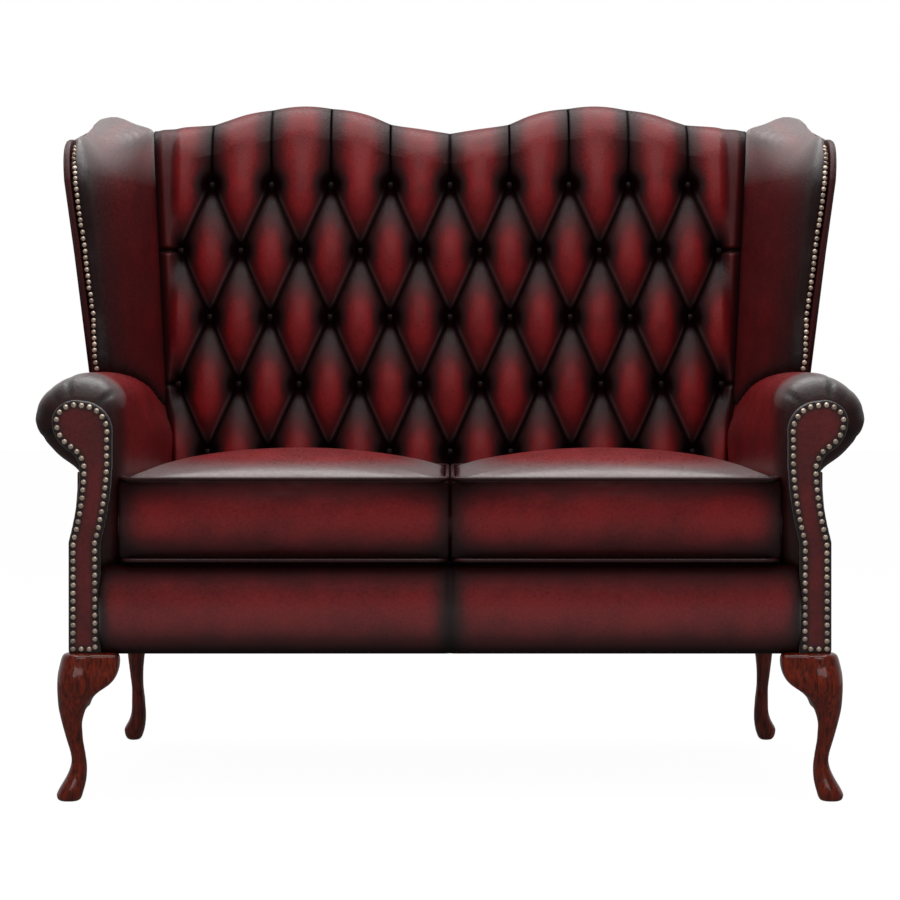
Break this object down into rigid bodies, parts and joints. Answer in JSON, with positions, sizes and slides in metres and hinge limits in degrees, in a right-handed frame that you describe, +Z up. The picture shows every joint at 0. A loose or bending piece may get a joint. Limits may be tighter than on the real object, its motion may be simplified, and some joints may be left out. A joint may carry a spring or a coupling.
{
  "type": "chesterfield sofa",
  "caption": "High-backed wing chesterfield sofa with a deep-buttoned serpentine back, scroll arms, loose seat cushions, nail trim and cabriole legs.",
  "frame": {"origin": "on the floor, in the middle of the footprint", "axes": "+X along the seat towards the viewer's right, +Y from the front to the back, +Z up"},
  "size_m": [1.288, 0.8192, 1.1338],
  "materials": {
    "leather": "rubbed oxblood, semi-gloss",
    "frame_wood": "raw beech",
    "mahogany": "gloss lacquer",
    "brass": "antique",
    "steel": "plain",
    "webbing": "woven jute",
    "lining": "black woven lining",
    "foam": "cushion foam"
  },
  "bodies": {
    "sofa": {"front_seat_rail": "frame_wood", "rear_seat_rail": "frame_wood", "centre_brace": "frame_wood", "corner_blocks": "frame_wood", "back_top_rail": "frame_wood", "back_lower_rail": "frame_wood", "back_slat": "frame_wood", "back_webbing": "webbing", "leg_bolts": "steel", "seat_springs": "steel", "spring_clips": "steel", "seat_deck": "lining", "front_border": "leather", "back_pad": "leather", "back_buttons": "leather", "outside_back": "leather", "dust_cover": "lining", "left_arm_facing": "leather", "left_front_post": "frame_wood", "left_arm_rail": "frame_wood", "left_arm_pad": "leather", "left_outside_arm": "leather", "left_arm_nails": "brass", "left_wing_board": "frame_wood", "left_wing_pad": "leather", "left_outside_wing": "leather", "left_wing_nails": "brass", "left_back_post": "frame_wood", "left_side_rail": "frame_wood", "left_front_leg": "mahogany", "left_rear_leg": "mahogany", "right_arm_facing": "leather", "right_front_post": "frame_wood", "right_arm_rail": "frame_wood", "right_arm_pad": "leather", "right_outside_arm": "leather", "right_arm_nails": "brass", "right_wing_board": "frame_wood", "right_wing_pad": "leather", "right_outside_wing": "leather", "right_wing_nails": "brass", "right_back_post": "frame_wood", "right_side_rail": "frame_wood", "right_front_leg": "mahogany", "right_rear_leg": "mahogany"},
    "left_cushion": {"left_cushion_cover": "leather", "left_cushion_core": "foam", "left_cushion_piping": "leather"},
    "right_cushion": {"right_cushion_cover": "leather", "right_cushion_core": "foam", "right_cushion_piping": "leather"}
  },
  "joints": [
    {"name": "left_cushion_lift", "type": "slide", "parent": "sofa", "child": "left_cushion", "axis": [0, 0, 1], "range_m": [0, 0.35]},
    {"name": "right_cushion_lift", "type": "slide", "parent": "sofa", "child": "right_cushion", "axis": [0, 0, 1], "range_m": [0, 0.35]}
  ]
}
